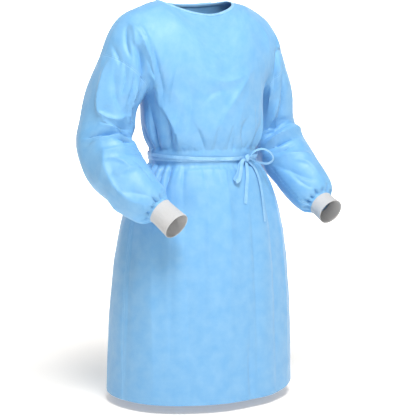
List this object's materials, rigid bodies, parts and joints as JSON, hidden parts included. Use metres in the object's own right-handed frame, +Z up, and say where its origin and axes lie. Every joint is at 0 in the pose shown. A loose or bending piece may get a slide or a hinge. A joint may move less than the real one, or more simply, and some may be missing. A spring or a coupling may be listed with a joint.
{
  "type": "isolation gown, filled out as worn, with no wearer, stand or form",
  "caption": "Light blue isolation gown with white knit cuffs, a bound neck and a tape belt tied in a bow, filled out as if worn.",
  "frame": {"origin": "on the shoulder line, midway between the high points of the shoulders, where the wearer holds the gown up", "axes": "+Z up, -Y the way the wearer faces, -X the wearer's right"},
  "size_m": [0.7434, 0.4655, 1.1242],
  "materials": {
    "cloth": "satin nonwoven",
    "tape": "folded and stitched nonwoven tape",
    "knit": "fine rib knit",
    "tab": "woven fastening tape"
  },
  "bodies": {
    "root": {"front": "cloth", "back_right": "cloth", "back_left": "cloth", "sleeve_right": "cloth", "sleeve_left": "cloth", "cuff_right": "knit", "cuff_left": "knit", "neck_binding": "tape", "belt_lower": "tape", "belt_upper": "tape", "knot": "tape", "bow_loop_right": "tape", "bow_loop_left": "tape", "tail_short": "tape", "tail_long": "tape", "belt_loop_right": "tape", "belt_loop_left": "tape", "neck_tab": "tab"}
  },
  "joints": []
}
